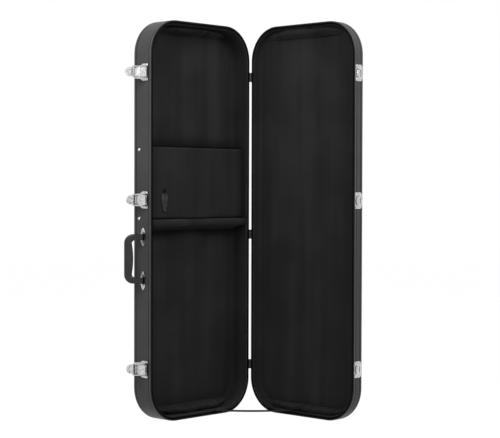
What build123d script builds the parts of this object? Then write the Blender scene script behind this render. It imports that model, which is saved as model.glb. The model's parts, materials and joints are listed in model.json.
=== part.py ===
"""Rectangular hard case for an electric guitar, standing on its lower end and open like a book.

Millimetres. +Z runs along the case. The origin is the middle of the deep half's lower end face.
The deep half (base) opens towards -Y. Everything is drawn with the case shut and the latches
done up, then the lid, the latches and the handle are turned to where they rest.
"""
from build123d import *
import os

# Case halves
case_length = 1040.0
case_width = 365.0
base_depth = 67.0
lid_depth = 35.0
corner_radius = 90.0
back_round = 6.5
wall_thickness = 6.0
panel_thickness = 7.0
trim_depth = 6.5
trim_chamfer = 0.7
seam_from_back = 12.0
seam_width = 0.9
seam_depth = 0.5
rim_gap = 0.4
lid_open_angle = 90.0

# Lining and compartment
lining_thickness = 4.0
lining_set_back = 2.5
floor_lining = 5.0
base_lower_pad = 23.0
base_upper_pad = 20.0
lid_lower_pad = 21.0
lid_upper_pad = 28.0
base_pad_set_back = 8.0
lid_pad_set_back = 3.5
upper_divider_top = 712.0
upper_divider_thickness = 16.0
lower_divider_bottom = 504.0
lower_divider_thickness = 34.0
ridge_thickness = 21.0
ridge_set_back = 3.0
cradle_width = 100.0
cradle_depth = 14.0
compartment_lid_depth = 20.0
compartment_lid_thickness = 6.0
compartment_lid_gap = 1.0
compartment_pivot_inset = 3.5
tape_width = 15.0
tape_thickness = 0.8
tab_width = 26.0
tab_length = 56.0
tab_thickness = 2.5
tab_top = 600.0
tab_from_wall = 66.0

# Hinges
hinge_heights = [124.5, 480.0, case_length - 132.0]
hinge_height = 25.0
knuckle_radius = 2.8
knuckle_wall_gap = 0.4
hinge_pin_radius = 1.25
running_clearance = 0.05
knuckle_gap = 0.3
middle_knuckle = 10.4
leaf_length = 22.0
leaf_thickness = 1.2
leaf_screw_reach = 13.0
leaf_screw_spread = 7.0
notch_clearance = 0.4

# Fasteners
rivet_head_radius = 2.5
rivet_head_height = 0.9
small_head_radius = 2.1
small_head_height = 0.7
rivet_shank_radius = 1.4
screw_head_radius = 2.0
stud_radius = 4.0
stud_height = 1.8
stud_from_rim = 44.7
lower_stud_above_ridge = 2.0

# Latches, measured from the closing plane (u) and from the wall (h)
latch_heights = [140.0, 575.0, case_length - 138.0]
latch_rest_angles = [25.0, 27.0, 45.0]
plate_start = 10.5
plate_wide_end = 30.0
plate_neck = 39.0
plate_end = base_depth - 7.0
plate_height = 43.5
plate_neck_height = 33.0
plate_end_height = 30.0
plate_thickness = 1.5
plate_corner = 2.4
plate_rivet_inset = 3.6
plate_rivet_front = 4.2
plate_rivet_back = 3.0
lever_pivot_u = 13.5
lever_pivot_h = 4.5
lever_pin_radius = 1.5
lever_height = 24.5
lever_thickness = 1.4
lever_tip = base_depth - 0.5
lever_shoulder = 29.0
lever_flat_start = 41.0
lever_curl_start = 58.0
lever_crown_h = 9.1
lever_flat_h = 5.2
lever_tip_h = 7.6
cheek_thickness = 1.55
cheek_radius = 2.7
cheek_bottom_h = 2.2
ear_radius = 2.6
ear_inner = 6.5
ear_outer = 10.2
boss_radius = 6.8
boss_height = 1.0
boss_from_tip = 12.5
boss_slope = 1.2
boss_sink = 0.1
hasp_pin_reach = 4.2
hasp_pin_radius = 1.3
hasp_arm_thickness = 2.0
hasp_arm_width = 3.4
hasp_side_gap = 1.05
hasp_bar_width = 2.6
hasp_bar_low_h = 2.2
hasp_bar_high_h = 6.6
hasp_rest_lift = 12.0
hasp_eye_wall = 0.9
hasp_pin_end = 0.5
hook_gap = 0.5

# Catches on the lid
catch_height = 42.5
catch_start = 1.2
catch_end = lid_depth - 6.5
catch_thickness = 1.2
catch_corner = 9.0
catch_lobe_height = 9.5
catch_lobe_rise = 0.7
hook_start = 4.6
hook_end = 9.8
hook_height = 5.0
hook_width = 15.6
slot_reach = 22.0
slot_width = 2.0
catch_rivet_front = 5.4
catch_rivet_front_inset = 5.2
catch_rivet_back = 8.0
catch_rivet_back_inset = 6.5
lobe_margin = 0.6
hook_slope = 1.6

# Handle
handle_centre = 424.0
handle_spacing = 111.0
handle_pivot_u = 28.0
handle_pivot_h = 6.4
handle_reach = 44.5
handle_arm_width = 16.0
handle_grip_width = 18.0
handle_belly = 5.0
handle_grip_thickness = 17.0
handle_eye_radius = 4.6
handle_outer_corner = 23.0
handle_inner_corner = 8.0
handle_edge_round = 5.0
handle_pin_radius = 2.0
handle_rest_angle = 45.0
bracket_length = 48.0
bracket_width = 17.0
bracket_thickness = 1.4
bracket_ear_thickness = 2.0
bracket_ear_gap = 0.4
bracket_ear_radius = 3.9
bracket_rivet_spread = 18.0

# Lid stay
stay_reach = 150.0
stay_inset = 25.0
stay_width = 18.0
stay_thickness = 1.5
stay_lift = 0.4
stay_plate_radius = 7.0
stay_plate_height = 0.7
stay_room = 2.8
stay_rivet_skin = 1.0

# Worked out from the sizes above
half_width = case_width / 2
hinge_offset = knuckle_radius + knuckle_wall_gap
base_rim = -base_depth / 2
closing_plane = base_rim - rim_gap
lid_rim = closing_plane - rim_gap
pivot_x = half_width + hinge_offset
lining_outer = wall_thickness
lining_inner = wall_thickness + lining_thickness
base_floor = base_depth - panel_thickness - floor_lining
lid_floor = lid_depth - panel_thickness - floor_lining
hinge_axis = Axis((pivot_x, closing_plane, 0), (0, 0, 1))
plate_plane_x = -half_width
lever_cheek_outer = lever_height / 2
hasp_inner = lever_cheek_outer + hasp_side_gap
hasp_outer = hasp_inner + hasp_arm_thickness
hasp_bar_u = -hook_end - hook_gap
handle_half = handle_spacing / 2

BASE, LID = 1, -1
nodes = {}


def rim_of(half):
    return base_rim if half == BASE else lid_rim


def slab(inset, half, near, far):
    """A rounded plate, inset from the case outline, between two depths behind the rim."""
    outline = RectangleRounded(
        case_width - 2 * inset, case_length - 2 * inset, corner_radius - inset
    )
    solid = extrude(Plane.XZ * outline, amount=far - near, dir=(0, half, 0))
    return Pos(0, rim_of(half) + half * near, case_length / 2) * solid


def ring(outer_inset, inner_inset, half, near, far):
    return slab(outer_inset, half, near, far) - slab(inner_inset, half, near, far)


def block(x0, x1, y0, y1, z0, z1):
    size = Box(abs(x1 - x0), abs(y1 - y0), abs(z1 - z0))
    return Pos((x0 + x1) / 2, (y0 + y1) / 2, (z0 + z1) / 2) * size


def rod(radius, x, y, z0, z1):
    return Pos(x, y, (z0 + z1) / 2) * Cylinder(radius, abs(z1 - z0))


def polygon_bar(points, z0, z1):
    """A flat outline in the local XY plane, drawn out along Z."""
    face = make_face(Polyline(*points, close=True))
    return Pos(0, 0, z0) * extrude(face, amount=z1 - z0, dir=(0, 0, 1))


def plan_bar(points, corner, h0, h1):
    """A plate outline in u and z, drawn out from the wall between two heights."""
    face = make_face(Polyline(*points, close=True))
    if corner > 0:
        face = fillet(face.vertices(), corner)
    solid = extrude(Plane.XZ * face, amount=h1 - h0, dir=(0, 1, 0))
    return Pos(0, h0, 0) * solid


def fastener(head_radius, head_height, shank_radius, shank_length):
    """A domed head on a shank, head upwards, with its seat at the origin."""
    dome_radius = (head_radius ** 2 + head_height ** 2) / (2 * head_height)
    dome = Pos(0, 0, head_height - dome_radius) * Sphere(dome_radius)
    head = dome & Pos(0, 0, head_height / 2) * Cylinder(head_radius, head_height)
    return head + Pos(0, 0, -shank_length / 2) * Cylinder(shank_radius, shank_length)


def on_latch_wall(z):
    """Local frame on the latch side wall: x = u along the depth, y = h outwards, z = z."""
    return Plane(origin=(plate_plane_x, closing_plane, z), x_dir=(0, 1, 0), z_dir=(0, 0, 1))


def wall_rivet(u, seat, z, head_radius=rivet_head_radius, head_height=rivet_head_height):
    local = Plane(origin=(u, seat, z), x_dir=(1, 0, 0), z_dir=(0, 1, 0))
    return local * fastener(
        head_radius, head_height, rivet_shank_radius, seat + wall_thickness
    )


# Shells of the two halves


def make_half(half, depth, name):
    back = depth - panel_thickness
    wall = ring(0, wall_thickness, half, trim_depth, back)
    seam = depth - seam_from_back
    wall -= ring(0, seam_depth, half, seam, seam + seam_width)
    trim = ring(0, wall_thickness, half, 0, trim_depth)
    rim_y = rim_of(half)
    for y in (rim_y, rim_y + half * trim_depth):
        edges = trim.edges().filter_by_position(Axis.Y, y - 0.01, y + 0.01)
        outside = [e for e in edges if e.length > 0 and is_outside(e)]
        trim = chamfer(outside, trim_chamfer)
    panel = slab(0, half, back, depth)
    back_y = rim_y + half * depth
    edges = panel.edges().filter_by_position(Axis.Y, back_y - 0.01, back_y + 0.01)
    panel = fillet(edges, back_round)
    nodes[name + "_wall"] = wall
    nodes[name + "_rim_trim"] = trim
    nodes[name + "_panel"] = panel
    floor = back - floor_lining
    nodes[name + "_side_lining"] = ring(lining_outer, lining_inner, half, lining_set_back, floor)
    nodes[name + "_floor_lining"] = slab(lining_outer, half, floor, back)


def is_outside(edge):
    """True for an edge on the case outline, not on the inner face of the wall."""
    p = edge @ 0.5
    inner = wall_thickness * 0.5
    x = half_width - abs(p.X)
    z = case_length / 2 - abs(p.Z - case_length / 2)
    if x < corner_radius and z < corner_radius:
        reach = ((corner_radius - x) ** 2 + (corner_radius - z) ** 2) ** 0.5
        return corner_radius - reach < inner
    return min(x, z) < inner


make_half(BASE, base_depth, "base")
make_half(LID, lid_depth, "lid")


def end_pad(half, set_back, floor, z_low, z_high):
    """Foam behind the lining across one end, cut to the rounded corners."""
    y0, y1 = rim_of(half) + half * set_back, rim_of(half) + half * floor
    return slab(lining_inner, half, set_back, floor) & block(
        -half_width, half_width, y0, y1, z_low, z_high
    )


pad_low, pad_high = lining_inner + stay_room, case_length - lining_inner
for name, half, set_back, floor, lower, upper in (
    ("base", BASE, base_pad_set_back, base_floor, base_lower_pad, base_upper_pad),
    ("lid", LID, lid_pad_set_back, lid_floor, lid_lower_pad, lid_upper_pad),
):
    nodes[name + "_end_pad_lower"] = end_pad(half, set_back, floor, pad_low, pad_low + lower)
    nodes[name + "_end_pad_upper"] = end_pad(half, set_back, floor, pad_high - upper, pad_high)

# Dividers and the accessory compartment

inner_x = half_width - lining_inner
floor_y = base_rim + base_floor
lid_top_y = base_rim + compartment_lid_depth
lid_under_y = lid_top_y + compartment_lid_thickness
ridge_y = base_rim + ridge_set_back
ridge_top = lower_divider_bottom + ridge_thickness
lower_top = lower_divider_bottom + lower_divider_thickness
upper_bottom = upper_divider_top - upper_divider_thickness

cradle_half = cradle_width / 2
cradle_flank = cradle_depth
ridge_outline = [
    (-inner_x, floor_y), (-inner_x, ridge_y),
    (-cradle_half - cradle_flank, ridge_y), (-cradle_half, ridge_y + cradle_depth),
    (cradle_half, ridge_y + cradle_depth), (cradle_half + cradle_flank, ridge_y),
    (inner_x, ridge_y), (inner_x, floor_y),
]
ridge = polygon_bar(ridge_outline, lower_divider_bottom, ridge_top)
ledge = block(-inner_x, inner_x, lid_under_y, floor_y, ridge_top, lower_top)
nodes["lower_divider"] = ridge + ledge
nodes["upper_divider"] = block(
    -inner_x, inner_x, lid_under_y, floor_y, upper_bottom, upper_divider_top
)

board_left = -inner_x + compartment_lid_gap
board_right = inner_x - compartment_pivot_inset
board_bottom = ridge_top + compartment_lid_gap
board_top = upper_divider_top
nodes["compartment_lid"] = block(
    board_left, board_right, lid_top_y, lid_under_y, board_bottom, board_top
)
tape_y = lid_top_y - tape_thickness
nodes["compartment_hinge_tape"] = block(
    inner_x - tape_width, inner_x, tape_y, lid_top_y, board_bottom, board_top
)
tab_x = -half_width + tab_from_wall
nodes["pull_tab"] = block(
    tab_x - tab_width / 2, tab_x + tab_width / 2,
    lid_top_y - tab_thickness, lid_top_y, tab_top - tab_length, tab_top,
)

# Hinges


def make_hinge(z, index):
    z_low, z_high = z - hinge_height / 2, z + hinge_height / 2
    mid_low, mid_high = z - middle_knuckle / 2, z + middle_knuckle / 2
    far_low, far_high = mid_low - knuckle_gap, mid_high + knuckle_gap
    face = half_width
    reach = closing_plane + leaf_length
    base_leaf = block(face, face + leaf_thickness, closing_plane, reach, z_low, z_high)
    base_leaf += rod(knuckle_radius, pivot_x, closing_plane, z_low, z_high)
    base_leaf -= rod(
        knuckle_radius + notch_clearance, pivot_x, closing_plane, far_low, far_high
    )
    base_leaf -= rod(hinge_pin_radius, pivot_x, closing_plane, z_low - 1, z_high + 1)
    reach = closing_plane - leaf_length
    lid_leaf = block(face, face + leaf_thickness, reach, closing_plane, z_low, z_high)
    lid_leaf -= rod(knuckle_radius + notch_clearance, pivot_x, closing_plane, z_low, z_high)
    knuckle = rod(knuckle_radius, pivot_x, closing_plane, mid_low, mid_high)
    bridge = block(
        face, face + leaf_thickness, closing_plane - leaf_length / 2, closing_plane,
        mid_low, mid_high,
    )
    lid_leaf += knuckle + bridge
    lid_leaf -= rod(
        hinge_pin_radius + running_clearance, pivot_x, closing_plane, mid_low - 1, mid_high + 1
    )
    nodes[f"hinge_{index}_base_leaf"] = base_leaf
    nodes[f"hinge_{index}_lid_leaf"] = lid_leaf
    nodes[f"hinge_{index}_pin"] = rod(hinge_pin_radius, pivot_x, closing_plane, z_low, z_high)


def leaf_screws(z, side):
    seat = half_width + leaf_thickness
    y = closing_plane + side * leaf_screw_reach
    found = []
    for dz in (-leaf_screw_spread, leaf_screw_spread):
        local = Plane(origin=(seat, y, z + dz), x_dir=(0, 1, 0), z_dir=(1, 0, 0))
        found.append(local * fastener(
            screw_head_radius, rivet_head_height, rivet_shank_radius,
            leaf_thickness + wall_thickness,
        ))
    return found


base_screws, lid_screws = [], []
for index, z in enumerate(hinge_heights, 1):
    make_hinge(z, index)
    base_screws += leaf_screws(z, BASE)
    lid_screws += leaf_screws(z, LID)

# Latches


def latch_plate():
    wide, neck, end = plate_height / 2, plate_neck_height / 2, plate_end_height / 2
    outline = [
        (plate_start, -wide), (plate_wide_end, -wide), (plate_neck, -neck), (plate_end, -end),
        (plate_end, end), (plate_neck, neck), (plate_wide_end, wide), (plate_start, wide),
    ]
    plate = plan_bar(outline, plate_corner, 0, plate_thickness)
    for side in (-1, 1):
        z0, z1 = side * ear_inner, side * ear_outer
        plate += rod(ear_radius, lever_pivot_u, lever_pivot_h, z0, z1)
        plate += block(
            lever_pivot_u - ear_radius, lever_pivot_u + ear_radius,
            plate_thickness / 2, lever_pivot_h, z0, z1,
        )
    return plate - rod(lever_pin_radius, lever_pivot_u, lever_pivot_h, -plate_height, plate_height)


def latch_lever():
    t = lever_thickness
    web = polygon_bar([
        (lever_pivot_u, lever_crown_h), (lever_shoulder, lever_crown_h),
        (lever_flat_start, lever_flat_h), (lever_curl_start, lever_flat_h),
        (lever_tip, lever_tip_h), (lever_tip, lever_tip_h - t),
        (lever_curl_start, lever_flat_h - t), (lever_flat_start, lever_flat_h - t),
        (lever_shoulder, lever_crown_h - t), (lever_pivot_u, lever_crown_h - t),
    ], -lever_height / 2, lever_height / 2)
    tongue_centre = lever_tip - lever_height / 2
    outline = block(
        lever_pivot_u, tongue_centre, 0, 2 * lever_crown_h, -lever_height / 2, lever_height / 2
    )
    tongue = Plane(origin=(tongue_centre, 0, 0), x_dir=(1, 0, 0), z_dir=(0, 1, 0))
    outline += tongue * Pos(0, 0, lever_crown_h) * Cylinder(lever_height / 2, 2 * lever_crown_h)
    lever = web & outline
    boss = Plane(
        origin=(lever_tip - boss_from_tip, lever_flat_h, 0), x_dir=(1, 0, 0), z_dir=(0, 1, 0)
    )
    lever += boss * Pos(0, 0, boss_height / 2 - boss_sink) * Cone(
        boss_radius, boss_radius - boss_slope, boss_height + 2 * boss_sink
    )
    for side in (-1, 1):
        z0, z1 = side * (lever_cheek_outer - cheek_thickness), side * lever_cheek_outer
        lever += rod(cheek_radius, lever_pivot_u, lever_pivot_h, z0, z1)
        lever += block(
            lever_pivot_u, lever_shoulder, cheek_bottom_h, lever_crown_h - t / 2, z0, z1
        )
    pin_u = lever_pivot_u + hasp_pin_reach
    span = plate_height
    lever -= rod(lever_pin_radius + running_clearance, lever_pivot_u, lever_pivot_h, -span, span)
    return lever - rod(hasp_pin_radius, pin_u, lever_pivot_h, -span, span)


def latch_hasp():
    pin_u = lever_pivot_u + hasp_pin_reach
    half = hasp_arm_width / 2
    loop = block(
        hasp_bar_u - hasp_bar_width, hasp_bar_u, hasp_bar_low_h, hasp_bar_high_h,
        -hasp_outer, hasp_outer,
    )
    for side in (-1, 1):
        z0, z1 = side * hasp_inner, side * hasp_outer
        loop += rod(hasp_pin_radius + hasp_eye_wall, pin_u, lever_pivot_h, z0, z1)
        loop += block(hasp_bar_u - hasp_bar_width, pin_u, lever_pivot_h - half,
                      lever_pivot_h + half, z0, z1)
    return loop - rod(
        hasp_pin_radius + running_clearance, pin_u, lever_pivot_h, -plate_height, plate_height
    )


def latch_catch():
    half, back, front = catch_height / 2, -catch_end, -catch_start
    outline = make_face(Polyline(
        (front, -half), (back, -half), (back, half), (front, half), close=True
    ))
    corners = outline.vertices().sort_by(Axis.X)
    outline = fillet(corners[:2], catch_corner)
    solid = extrude(Plane.XZ * outline, amount=catch_thickness, dir=(0, 1, 0))
    lobe = catch_lobe_height
    for side in (-1, 1):
        z0, z1 = side * (half - lobe), side * (half - lobe_margin)
        rise = catch_thickness + catch_lobe_rise
        solid += block(-hook_end, front - lobe_margin, catch_thickness / 2, rise, z0, z1)
    hook = polygon_bar([
        (-hook_start, catch_thickness / 2), (-hook_start - hook_slope, hook_height),
        (-hook_end, hook_height), (-hook_end, catch_thickness / 2),
    ], -hook_width / 2, hook_width / 2)
    solid += hook
    slot = block(
        -slot_reach - slot_width / 2, -slot_reach + slot_width / 2, -1, catch_thickness + 1,
        -hook_width / 2, hook_width / 2,
    )
    return solid - slot


plate_rivet_spots = [
    (plate_start + plate_rivet_front, plate_height / 2 - plate_rivet_inset),
    (plate_wide_end - plate_rivet_back, plate_height / 2 - plate_rivet_inset),
]
catch_rivet_spots = [
    (-catch_rivet_front, catch_height / 2 - catch_rivet_front_inset),
    (-catch_end + catch_rivet_back, catch_height / 2 - catch_rivet_back_inset),
]
latch_rivets, catch_rivets = [], []
plate_shape, lever_shape = latch_plate(), latch_lever()
hasp_shape, catch_shape = latch_hasp(), latch_catch()
lever_pin = rod(
    lever_pin_radius, lever_pivot_u, lever_pivot_h, -lever_cheek_outer, lever_cheek_outer
)
hasp_pin = rod(
    hasp_pin_radius, lever_pivot_u + hasp_pin_reach, lever_pivot_h,
    -hasp_outer - hasp_pin_end, hasp_outer + hasp_pin_end,
)
for side in (-1, 1):
    for u, z in plate_rivet_spots:
        latch_rivets.append(wall_rivet(u, plate_thickness, side * z))
    for number, (u, z) in enumerate(catch_rivet_spots):
        seat = catch_thickness + (catch_lobe_rise if number == 0 else 0)
        catch_rivets.append(wall_rivet(u, seat, side * z, small_head_radius, small_head_height))


def without(shape, cutters):
    for cutter in cutters:
        shape -= cutter
    return shape


plate_shape = without(plate_shape, latch_rivets)
catch_shape = without(catch_shape, catch_rivets)


def turned(shape, x, y, angle):
    return shape.rotate(Axis((x, y, 0), (0, 0, 1)), angle)


all_latch_rivets, all_catch_rivets = [], []
for index, (z, rest) in enumerate(zip(latch_heights, latch_rest_angles), 1):
    place = on_latch_wall(z)
    nodes[f"latch_{index}_plate"] = place * plate_shape
    nodes[f"latch_{index}_lever_pin"] = place * lever_pin
    lever_x, lever_y = plate_plane_x - lever_pivot_h, closing_plane + lever_pivot_u
    hasp_y = lever_y + hasp_pin_reach
    hasp_fold = -(180.0 - hasp_rest_lift)
    folded = turned(place * hasp_shape, lever_x, hasp_y, hasp_fold)
    nodes[f"latch_{index}_lever"] = turned(place * lever_shape, lever_x, lever_y, rest)
    nodes[f"latch_{index}_hasp_pin"] = turned(place * hasp_pin, lever_x, lever_y, rest)
    nodes[f"latch_{index}_hasp"] = turned(folded, lever_x, lever_y, rest)
    nodes[f"catch_{index}"] = place * catch_shape
    all_latch_rivets += [place * r for r in latch_rivets]
    all_catch_rivets += [place * r for r in catch_rivets]

# Handle


def handle_bracket():
    lens = Plane.XZ * Ellipse(bracket_width / 2, bracket_length / 2)
    plate = extrude(lens, amount=bracket_thickness, dir=(0, 1, 0))
    near = handle_arm_width / 2 + bracket_ear_gap
    far = near + bracket_ear_thickness
    for side in (-1, 1):
        z0, z1 = side * near, side * far
        plate += rod(bracket_ear_radius, 0, handle_pivot_h, z0, z1)
        plate += block(
            -bracket_ear_radius, bracket_ear_radius, bracket_thickness / 2, handle_pivot_h, z0, z1
        )
    return plate - rod(handle_pin_radius, 0, handle_pivot_h, -bracket_length, bracket_length)


def handle_body():
    """Drawn flat along the depth: x is the reach from the pivot, z along the case."""
    outer_z = handle_half + handle_arm_width / 2
    inner_z = handle_half - handle_arm_width / 2
    grip_inner = handle_reach - handle_grip_width
    start = -handle_eye_radius
    bow = Polyline(
        (start, -outer_z), (handle_reach, -outer_z), (handle_reach, outer_z), (start, outer_z),
        (start, inner_z), (grip_inner, inner_z),
    )
    belly = ThreePointArc(
        (grip_inner, inner_z), (grip_inner - handle_belly, 0), (grip_inner, -inner_z)
    )
    close = Polyline((grip_inner, -inner_z), (start, -inner_z), (start, -outer_z))
    face = make_face(Curve() + [bow, belly, close])
    outer = [v for v in face.vertices() if v.X > handle_reach - 0.1]
    face = fillet(outer, handle_outer_corner)
    inner = [v for v in face.vertices() if abs(v.X - grip_inner) + abs(abs(v.Y) - inner_z) < 0.1]
    face = fillet(inner, handle_inner_corner)
    half = handle_grip_thickness / 2
    solid = extrude(Plane.XZ * face, amount=2 * half, dir=(0, 1, 0))
    solid = Pos(0, -half, 0) * solid
    rims = [e for e in solid.edges() if abs(abs((e @ 0.5).Y) - half) < 0.01]
    solid = fillet([e for e in rims if (e @ 0.5).X > start + 0.1], handle_edge_round)
    side = make_face(Polyline(
        (0, -handle_eye_radius), (grip_inner - handle_belly, -half), (handle_reach, -half),
        (handle_reach, half), (grip_inner - handle_belly, half), (0, handle_eye_radius), close=True
    ))
    side = extrude(side, amount=outer_z + 1, both=True)
    side += Cylinder(handle_eye_radius, 2 * outer_z + 2)
    solid = solid & side
    bore = Cylinder(handle_pin_radius + running_clearance, 2 * outer_z + 4)
    return solid - bore


bracket_shape = handle_bracket()
bracket_rivets = []
for side in (-1, 1):
    local = Plane(origin=(0, bracket_thickness, side * bracket_rivet_spread),
                  x_dir=(1, 0, 0), z_dir=(0, 1, 0))
    bracket_rivets.append(local * fastener(
        rivet_head_radius, rivet_head_height, rivet_shank_radius,
        bracket_thickness + wall_thickness,
    ))
bracket_shape = without(bracket_shape, bracket_rivets)
pin_reach = handle_arm_width / 2 + bracket_ear_gap + bracket_ear_thickness
handle_pin = rod(handle_pin_radius, 0, handle_pivot_h, -pin_reach, pin_reach)
handle_rivets, handle_pins = [], []
handle_y = closing_plane + handle_pivot_u
for name, dz in (("lower", -handle_half), ("upper", handle_half)):
    place = on_latch_wall(handle_centre + dz) * Pos(handle_pivot_u, 0, 0)
    nodes[f"handle_bracket_{name}"] = place * bracket_shape
    handle_rivets += [place * r for r in bracket_rivets]
    handle_pins.append(place * handle_pin)
place = on_latch_wall(handle_centre) * Pos(handle_pivot_u, handle_pivot_h, 0)
nodes["handle"] = turned(
    place * handle_body(), plate_plane_x - handle_pivot_h, handle_y, handle_rest_angle
)
nodes["handle_pins"] = Compound(handle_pins)

# Studs that hold the two dividers

stud_y = base_rim + stud_from_rim
divider_studs = []
for z in ((upper_bottom + upper_divider_top) / 2, ridge_top + lower_stud_above_ridge):
    local = Plane(origin=(-half_width, stud_y, z), x_dir=(0, 1, 0), z_dir=(-1, 0, 0))
    divider_studs.append(local * fastener(
        stud_radius, stud_height, rivet_shank_radius, wall_thickness
    ))

# Lid stay: a strap riveted to the lower end wall of each half

stay_z = lining_inner + stay_lift
stay_top = stay_z + stay_thickness
foot_x, foot_y = pivot_x - stay_reach, base_rim + stay_inset
shut_foot_y = lid_rim - stay_inset * lid_depth / base_depth
base_foot = Vector(foot_x, foot_y, 0)
lid_foot_shut = rod(1.0, foot_x, shut_foot_y, 0, 1).rotate(hinge_axis, lid_open_angle).center()
lid_foot = Vector(lid_foot_shut.X, lid_foot_shut.Y, 0)
span = lid_foot - base_foot
middle = (base_foot + lid_foot) * 0.5
strap_plane = Plane(
    origin=(middle.X, middle.Y, (stay_z + stay_top) / 2), x_dir=(span.X, span.Y, 0), z_dir=(0, 0, 1)
)
strap = strap_plane * Box(span.length, stay_width, stay_thickness)
for foot in (base_foot, lid_foot):
    strap += rod(stay_width / 2, foot.X, foot.Y, stay_z, stay_top)
nodes["lid_stay"] = strap


def stay_rivet(x, y):
    return Pos(x, y, stay_top) * fastener(
        stay_plate_radius, stay_plate_height, rivet_shank_radius, stay_top - stay_rivet_skin
    )


base_stay_rivet = stay_rivet(base_foot.X, base_foot.Y)
lid_stay_rivet = stay_rivet(lid_foot.X, lid_foot.Y)
nodes["lid_stay"] = without(nodes["lid_stay"], [base_stay_rivet, lid_stay_rivet])

# Fasteners pass through what they hold

base_fasteners = all_latch_rivets + handle_rivets + divider_studs + base_screws
for name in ("base_wall", "base_rim_trim"):
    nodes[name] = without(nodes[name], base_fasteners)
for name in ("base_wall", "base_side_lining"):
    nodes[name] = without(nodes[name], [base_stay_rivet])
for index in range(1, len(hinge_heights) + 1):
    nodes[f"hinge_{index}_base_leaf"] = without(nodes[f"hinge_{index}_base_leaf"], base_screws)
    nodes[f"hinge_{index}_lid_leaf"] = without(nodes[f"hinge_{index}_lid_leaf"], lid_screws)
for name in ("lid_wall", "lid_rim_trim"):
    nodes[name] = without(nodes[name], lid_screws + all_catch_rivets)
nodes["latch_rivets"] = Compound(all_latch_rivets)
nodes["handle_rivets"] = Compound(handle_rivets)
nodes["divider_studs"] = Compound(divider_studs)
nodes["hinge_base_screws"] = Compound(base_screws)
nodes["hinge_lid_screws"] = Compound(lid_screws)
nodes["catch_rivets"] = Compound(all_catch_rivets)

# Open the lid

lid_starts = ("lid_wall", "lid_rim", "lid_panel", "lid_side", "lid_floor", "lid_end", "catch_")
lid_nodes = [n for n in nodes if n.startswith(lid_starts) or n.endswith("lid_leaf")]
lid_nodes.append("hinge_lid_screws")
for name in lid_nodes:
    nodes[name] = nodes[name].rotate(hinge_axis, lid_open_angle)
for name in ("lid_wall", "lid_side_lining"):
    nodes[name] = without(nodes[name], [lid_stay_rivet])
nodes["stay_base_rivet"] = base_stay_rivet
nodes["stay_lid_rivet"] = lid_stay_rivet

os.makedirs("parts", exist_ok=True)
for name, shape in nodes.items():
    export_step(shape, f"parts/{name}.step")
print(len(nodes), "nodes; hinge axis at", round(pivot_x, 3), round(closing_plane, 3))
print("lever axis", round(plate_plane_x - lever_pivot_h, 3), round(closing_plane + lever_pivot_u, 3))
print("handle axis", round(plate_plane_x - handle_pivot_h, 3), round(handle_y, 3))
print("compartment axis", round(board_right, 3), round(lid_top_y, 3))
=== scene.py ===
# %% [markdown]
# # A hard case for an electric guitar
# The case is two rounded boxes of bent plywood, a deep one and a shallow lid, covered with black
# grained vinyl and lined with black plush. It stands on its lower end, open like a book. The
# construction holds every hard part at its real size. This lesson adds what the construction
# leaves plain: the padded linings, the cloth, the leather and the finish of every surface.

# %% Load the construction
import json
import math

import bpy
from mathutils import Matrix, Vector, noise


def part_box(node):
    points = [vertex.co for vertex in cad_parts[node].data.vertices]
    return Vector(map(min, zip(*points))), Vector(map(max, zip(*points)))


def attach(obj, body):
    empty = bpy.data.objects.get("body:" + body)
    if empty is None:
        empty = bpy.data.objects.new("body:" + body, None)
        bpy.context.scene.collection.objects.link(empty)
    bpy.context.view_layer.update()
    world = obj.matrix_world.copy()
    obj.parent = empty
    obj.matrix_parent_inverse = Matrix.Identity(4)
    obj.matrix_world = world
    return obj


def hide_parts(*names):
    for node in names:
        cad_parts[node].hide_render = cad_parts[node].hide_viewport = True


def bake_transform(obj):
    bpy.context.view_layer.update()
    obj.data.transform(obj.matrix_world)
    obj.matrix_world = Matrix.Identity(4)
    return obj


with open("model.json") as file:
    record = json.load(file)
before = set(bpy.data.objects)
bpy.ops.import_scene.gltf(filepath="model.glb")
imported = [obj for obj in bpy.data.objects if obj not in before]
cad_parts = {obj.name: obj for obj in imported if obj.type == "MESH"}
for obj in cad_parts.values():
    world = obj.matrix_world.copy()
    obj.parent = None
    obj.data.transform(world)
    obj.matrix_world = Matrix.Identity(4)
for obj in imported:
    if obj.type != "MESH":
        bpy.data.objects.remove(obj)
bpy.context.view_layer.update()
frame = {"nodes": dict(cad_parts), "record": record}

# %% [markdown]
# ## The camera
# The picture looks at the hinge line, from a little above the case's middle, through a long
# lens. A long lens keeps the two halves nearly parallel, as a catalogue picture does. The
# camera's axes are worked out from a heading, a tilt and a small roll, so that each can be read.

# %% Camera
MM = 0.001
CAMERA_PLACE = Vector((-2668.3, -2740.8, 608.2)) * MM
HEADING, TILT, ROLL = (math.radians(angle) for angle in (-46.509, -1.264, 0.154))
SENSOR_WIDTH = 36.0
LENS = 103.5
scene = bpy.context.scene


def camera_axes(heading, tilt, roll):
    """Right, up and backward axes for a heading from +Y, a tilt and a roll."""
    level = math.cos(tilt)
    ahead = Vector((-math.sin(heading) * level, math.cos(heading) * level, math.sin(tilt)))
    right = ahead.cross(Vector((0, 0, 1))).normalized()
    up = right.cross(ahead)
    rolled_right = right * math.cos(roll) + up * math.sin(roll)
    rolled_up = up * math.cos(roll) - right * math.sin(roll)
    return Matrix((rolled_right, rolled_up, -ahead)).transposed()


camera = bpy.data.objects.new("camera", bpy.data.cameras.new("camera"))
camera.data.sensor_width = SENSOR_WIDTH
camera.data.lens = LENS
camera.location = CAMERA_PLACE
camera.rotation_euler = camera_axes(HEADING, TILT, ROLL).to_euler()
scene.collection.objects.link(camera)
scene.camera = camera
print("camera at", tuple(round(v, 3) for v in camera.location), "m")

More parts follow.
